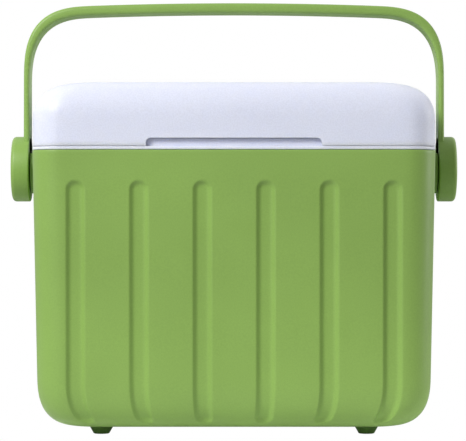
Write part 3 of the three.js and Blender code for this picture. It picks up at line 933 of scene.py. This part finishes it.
GREEN = moulded("green plastic", (137, 172, 84))
# the white's paler edge colour is edge wear and a painted highlight
WHITE = moulded("white plastic", (228, 231, 247), grain=0.06, mottle=0.012,
                wear_and_sheen=linear(240, 241, 246), depth=2.5 * MM)
# the feet use the tub's green darkened: painted shade for the dark under the box
FOOT = moulded("green foot plastic with painted shade", (78, 113, 42), grain=0.3, gloss=(0.5, 0.65))
FOAM = cellular("insulation foam", (233, 223, 184))
STEEL = metal("zinc plated steel", (190, 193, 197), 0.34)


# ---------------------------------------------------------------- putting the box together


def finish_piece(piece, material, body, slot, *nodes):
    """Gives a piece its material and its body, and hides the CAD nodes it stands for. The slot is
    not used.
    """
    piece.data.materials.clear()
    piece.data.materials.append(material)
    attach(piece, body)
    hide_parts(*nodes)


def build_tub():
    finish_piece(make_tub_skin(), GREEN, "cabinet", "green_plastic", "outer_shell")
    finish_piece(make_liner(), WHITE, "cabinet", "white_plastic", "inner_liner")


def build_lid():
    finish_piece(make_lid_skin(), WHITE, "lid", "white_plastic", "lid_shell")
    finish_piece(make_lid_liner(), WHITE, "lid", "white_plastic", "lid_liner")


def build_handle():
    finish_piece(make_handle(), GREEN, "handle", "green_plastic", "handle")
    for name, side in SIDES:
        cover = make_hub_cover(name, side)
        finish_piece(cover, GREEN, "handle", "green_plastic", f"hub_cap_{name}")


def build_feet(screw):
    for name in FOOT_NAMES:
        finish_piece(make_foot(name), FOOT, "cabinet", "feet", f"foot_{name}")
        low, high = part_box(f"foot_screw_{name}")
        centre = (low + high) / 2
        seat = Matrix.Translation((centre.x, centre.y, low.z + SMALL_SCREW["rise"]))
        seat = seat @ Matrix.Rotation(math.pi, 4, "X")
        fixing = placed(f"fixing_foot_{name}", screw, seat)
        finish_piece(fixing, STEEL, "cabinet", "steel", f"foot_screw_{name}")


def build_hinges(screw):
    inner = BARREL["knuckle"] - BARREL["gap"]
    half = LEAF["half"]
    for name, _ in SIDES:
        x = centre_of(f"hinge_pin_{name}").x
        lid_leaf = make_leaf(f"leaf_lid_{name}", x, 1, [(-inner, inner)])
        finish_piece(lid_leaf, WHITE, "lid", "white_plastic", f"hinge_lid_{name}")
        spans = [(-half, -BARREL["knuckle"]), (BARREL["knuckle"], half)]
        tub_leaf = make_leaf(f"leaf_tub_{name}", x, -1, spans)
        finish_piece(tub_leaf, WHITE, "cabinet", "white_plastic", f"hinge_tub_{name}")
        outline = collar(0, BARREL["pin"], -half, half, BARREL["soft"])
        pin = lathe(f"pin_{name}", outline, "x", 32, (x, HINGE_Y, HINGE_Z))
        finish_piece(pin, STEEL, "cabinet", "steel", f"hinge_pin_{name}")
        for leaf, body in (("lid", "lid"), ("tub", "cabinet")):
            for end in "ab":
                node = f"hinge_screw_{leaf}_{name}_{end}"
                low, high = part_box(node)
                centre = (low + high) / 2
                seat = Matrix.Translation((centre.x, high.y - SMALL_SCREW["rise"], centre.z))
                seat = seat @ Matrix.Rotation(-math.pi / 2, 4, "X")
                fixing = placed(f"fixing_{leaf}_{name}_{end}", screw, seat)
                finish_piece(fixing, STEEL, body, "steel", node)


def build_pivots():
    low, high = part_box("pivot_screw_right")
    big = screw_mesh(**BIG_SCREW, length=high.x - low.x - BIG_SCREW["rise"])
    for name, side in SIDES:
        boss = make_boss(name, side)
        finish_piece(boss, GREEN, "cabinet", "green_plastic", f"pivot_boss_{name}")
        sleeve = make_sleeve(name, side)
        finish_piece(sleeve, GREEN, "cabinet", "green_plastic", f"pivot_sleeve_{name}")
        low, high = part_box(f"pivot_washer_{name}")
        outline = collar(BOSS["bore"], (high.z - low.z) / 2, low.x, high.x, 0.3 * MM)
        washer = lathe(f"washer_{name}", outline, "x", 64, (0, MID_Y, PIVOT_Z))
        finish_piece(washer, STEEL, "cabinet", "steel", f"pivot_washer_{name}")
        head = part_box(f"pivot_screw_{name}")[1 if side > 0 else 0].x
        seat = Matrix.Translation((head - side * BIG_SCREW["rise"], MID_Y, PIVOT_Z))
        seat = seat @ Matrix.Rotation(side * math.pi / 2, 4, "Y")
        bolt = placed(f"pivot_bolt_{name}", big, seat)
        finish_piece(bolt, STEEL, "cabinet", "steel", f"pivot_screw_{name}")


def dress_foam():
    """The foam stays as the CAD has it, hidden between the skins, with its own material."""
    for node in ("tub_foam", "lid_foam"):
        foam = frame["nodes"][node]
        foam.data.materials.clear()
        foam.data.materials.append(FOAM)


# ---------------------------------------------------------------- floor, light and camera


FRONT_SKY, BACK_SKY = 0.25, 0.85
# The floor's pool of light and its glow are painted light, for the light the floor throws back up.
LIGHT_POOL_REACH = (0.15, 0.5)  # metres from the box over which the painted pool of light on the floor fades darker
LIGHT_POOL_TONES = (0.86, 0.2)
FLOOR_BOUNCE_GLOW = 0.13
# name, degrees round from the front (to the right), degrees up, metres away, size, watts
LIGHTS = (
    ("key", -40, 34, 2.6, 1.1, 59),
    ("side", 98, 12, 2.2, 1.0, 15),
)


def make_floor():
    """A wide floor with a painted pool of light, palest round the box, and a faint painted glow. It
    looks white and still throws light back up.
    """
    work = bmesh.new()
    bmesh.ops.create_grid(work, x_segments=4, y_segments=4, size=60)
    floor = object_from(work, "floor")
    material, tree, shader, place = new_material("pale floor")
    away = tree.nodes.new("ShaderNodeVectorMath")
    away.operation = "LENGTH"
    tree.links.new(place, away.inputs[0])
    # painted pool of light: the floor's tone is palest round the box and darker further out
    tone = map_range(tree, away.outputs["Value"], LIGHT_POOL_REACH, LIGHT_POOL_TONES)
    tree.links.new(tone, shader.inputs["Base Color"])
    shader.inputs["Roughness"].default_value = 0.9
    # a faint painted glow, not a lamp, so the floor throws more light up
    shader.inputs["Emission Color"].default_value = (1, 1, 1, 1)
    shader.inputs["Emission Strength"].default_value = FLOOR_BOUNCE_GLOW
    path = tree.nodes.new("ShaderNodeLightPath")
    white = add_node(tree, "ShaderNodeEmission", Strength=1.0)
    mix = tree.nodes.new("ShaderNodeMixShader")
    tree.links.new(path.outputs["Is Camera Ray"], mix.inputs[0])
    tree.links.new(shader.outputs["BSDF"], mix.inputs[1])
    tree.links.new(white.outputs["Emission"], mix.inputs[2])
    tree.links.new(mix.outputs["Shader"], tree.nodes["Material Output"].inputs["Surface"])
    floor.data.materials.append(material)


def soft_light(name, place, aim, size, power):
    data = bpy.data.lights.new(name, "AREA")
    data.shape = "DISK"
    data.size = size
    data.energy = power
    light = linked(name, data)
    light.location = place
    light.rotation_euler = (aim - place).to_track_quat("-Z", "Y").to_euler()


def light_the_box():
    """A bright surround behind the box, a dimmer one in front, and soft lights from both sides."""
    world = bpy.data.worlds.new("studio")
    bpy.context.scene.world = world
    world.use_nodes = True
    tree = world.node_tree
    background = tree.nodes["Background"]
    background.inputs["Color"].default_value = (1, 1, 1, 1)
    direction = tree.nodes.new("ShaderNodeTexCoord")
    split = tree.nodes.new("ShaderNodeSeparateXYZ")
    tree.links.new(direction.outputs["Generated"], split.inputs["Vector"])
    around = map_range(tree, split.outputs["Y"], (-0.3, 0.3), (FRONT_SKY, BACK_SKY))
    path = tree.nodes.new("ShaderNodeLightPath")
    mix = tree.nodes.new("ShaderNodeMix")
    tree.links.new(path.outputs["Is Camera Ray"], mix.inputs["Factor"])
    tree.links.new(around, mix.inputs["A"])
    mix.inputs["B"].default_value = 1.0
    tree.links.new(mix.outputs["Result"], background.inputs["Strength"])
    middle = Vector((0, MID_Y, 0.16))
    for name, turn, rise, distance, size, power in LIGHTS:
        turn, rise = math.radians(turn), math.radians(rise)
        level = math.cos(rise)
        away = Vector((math.sin(turn) * level, -math.cos(turn) * level, math.sin(rise)))
        soft_light(name, middle + away * distance, middle, size, power)


def place_camera():
    """The lens looks level at the middle of the front, from a long way off."""
    data = bpy.data.cameras.new("camera")
    data.sensor_width = 36
    distance, field = 1.92, 0.3728  # metres in front of the box, and width seen there
    data.lens = data.sensor_width * distance / field
    data.clip_start, data.clip_end = 0.05, 200
    camera = linked("camera", data)
    camera.location = (-0.0008, MID_Y - HALF_DEPTH - distance, 0.1744)
    camera.rotation_euler = (math.pi / 2, 0, 0)
    bpy.context.scene.camera = camera


bpy.context.scene.view_settings.view_transform = "Standard"
place_camera()
make_floor()
light_the_box()
build_tub()
build_lid()
build_handle()
small_screw = screw_mesh(**SMALL_SCREW)
build_feet(small_screw)
build_hinges(small_screw)
build_pivots()
dress_foam()
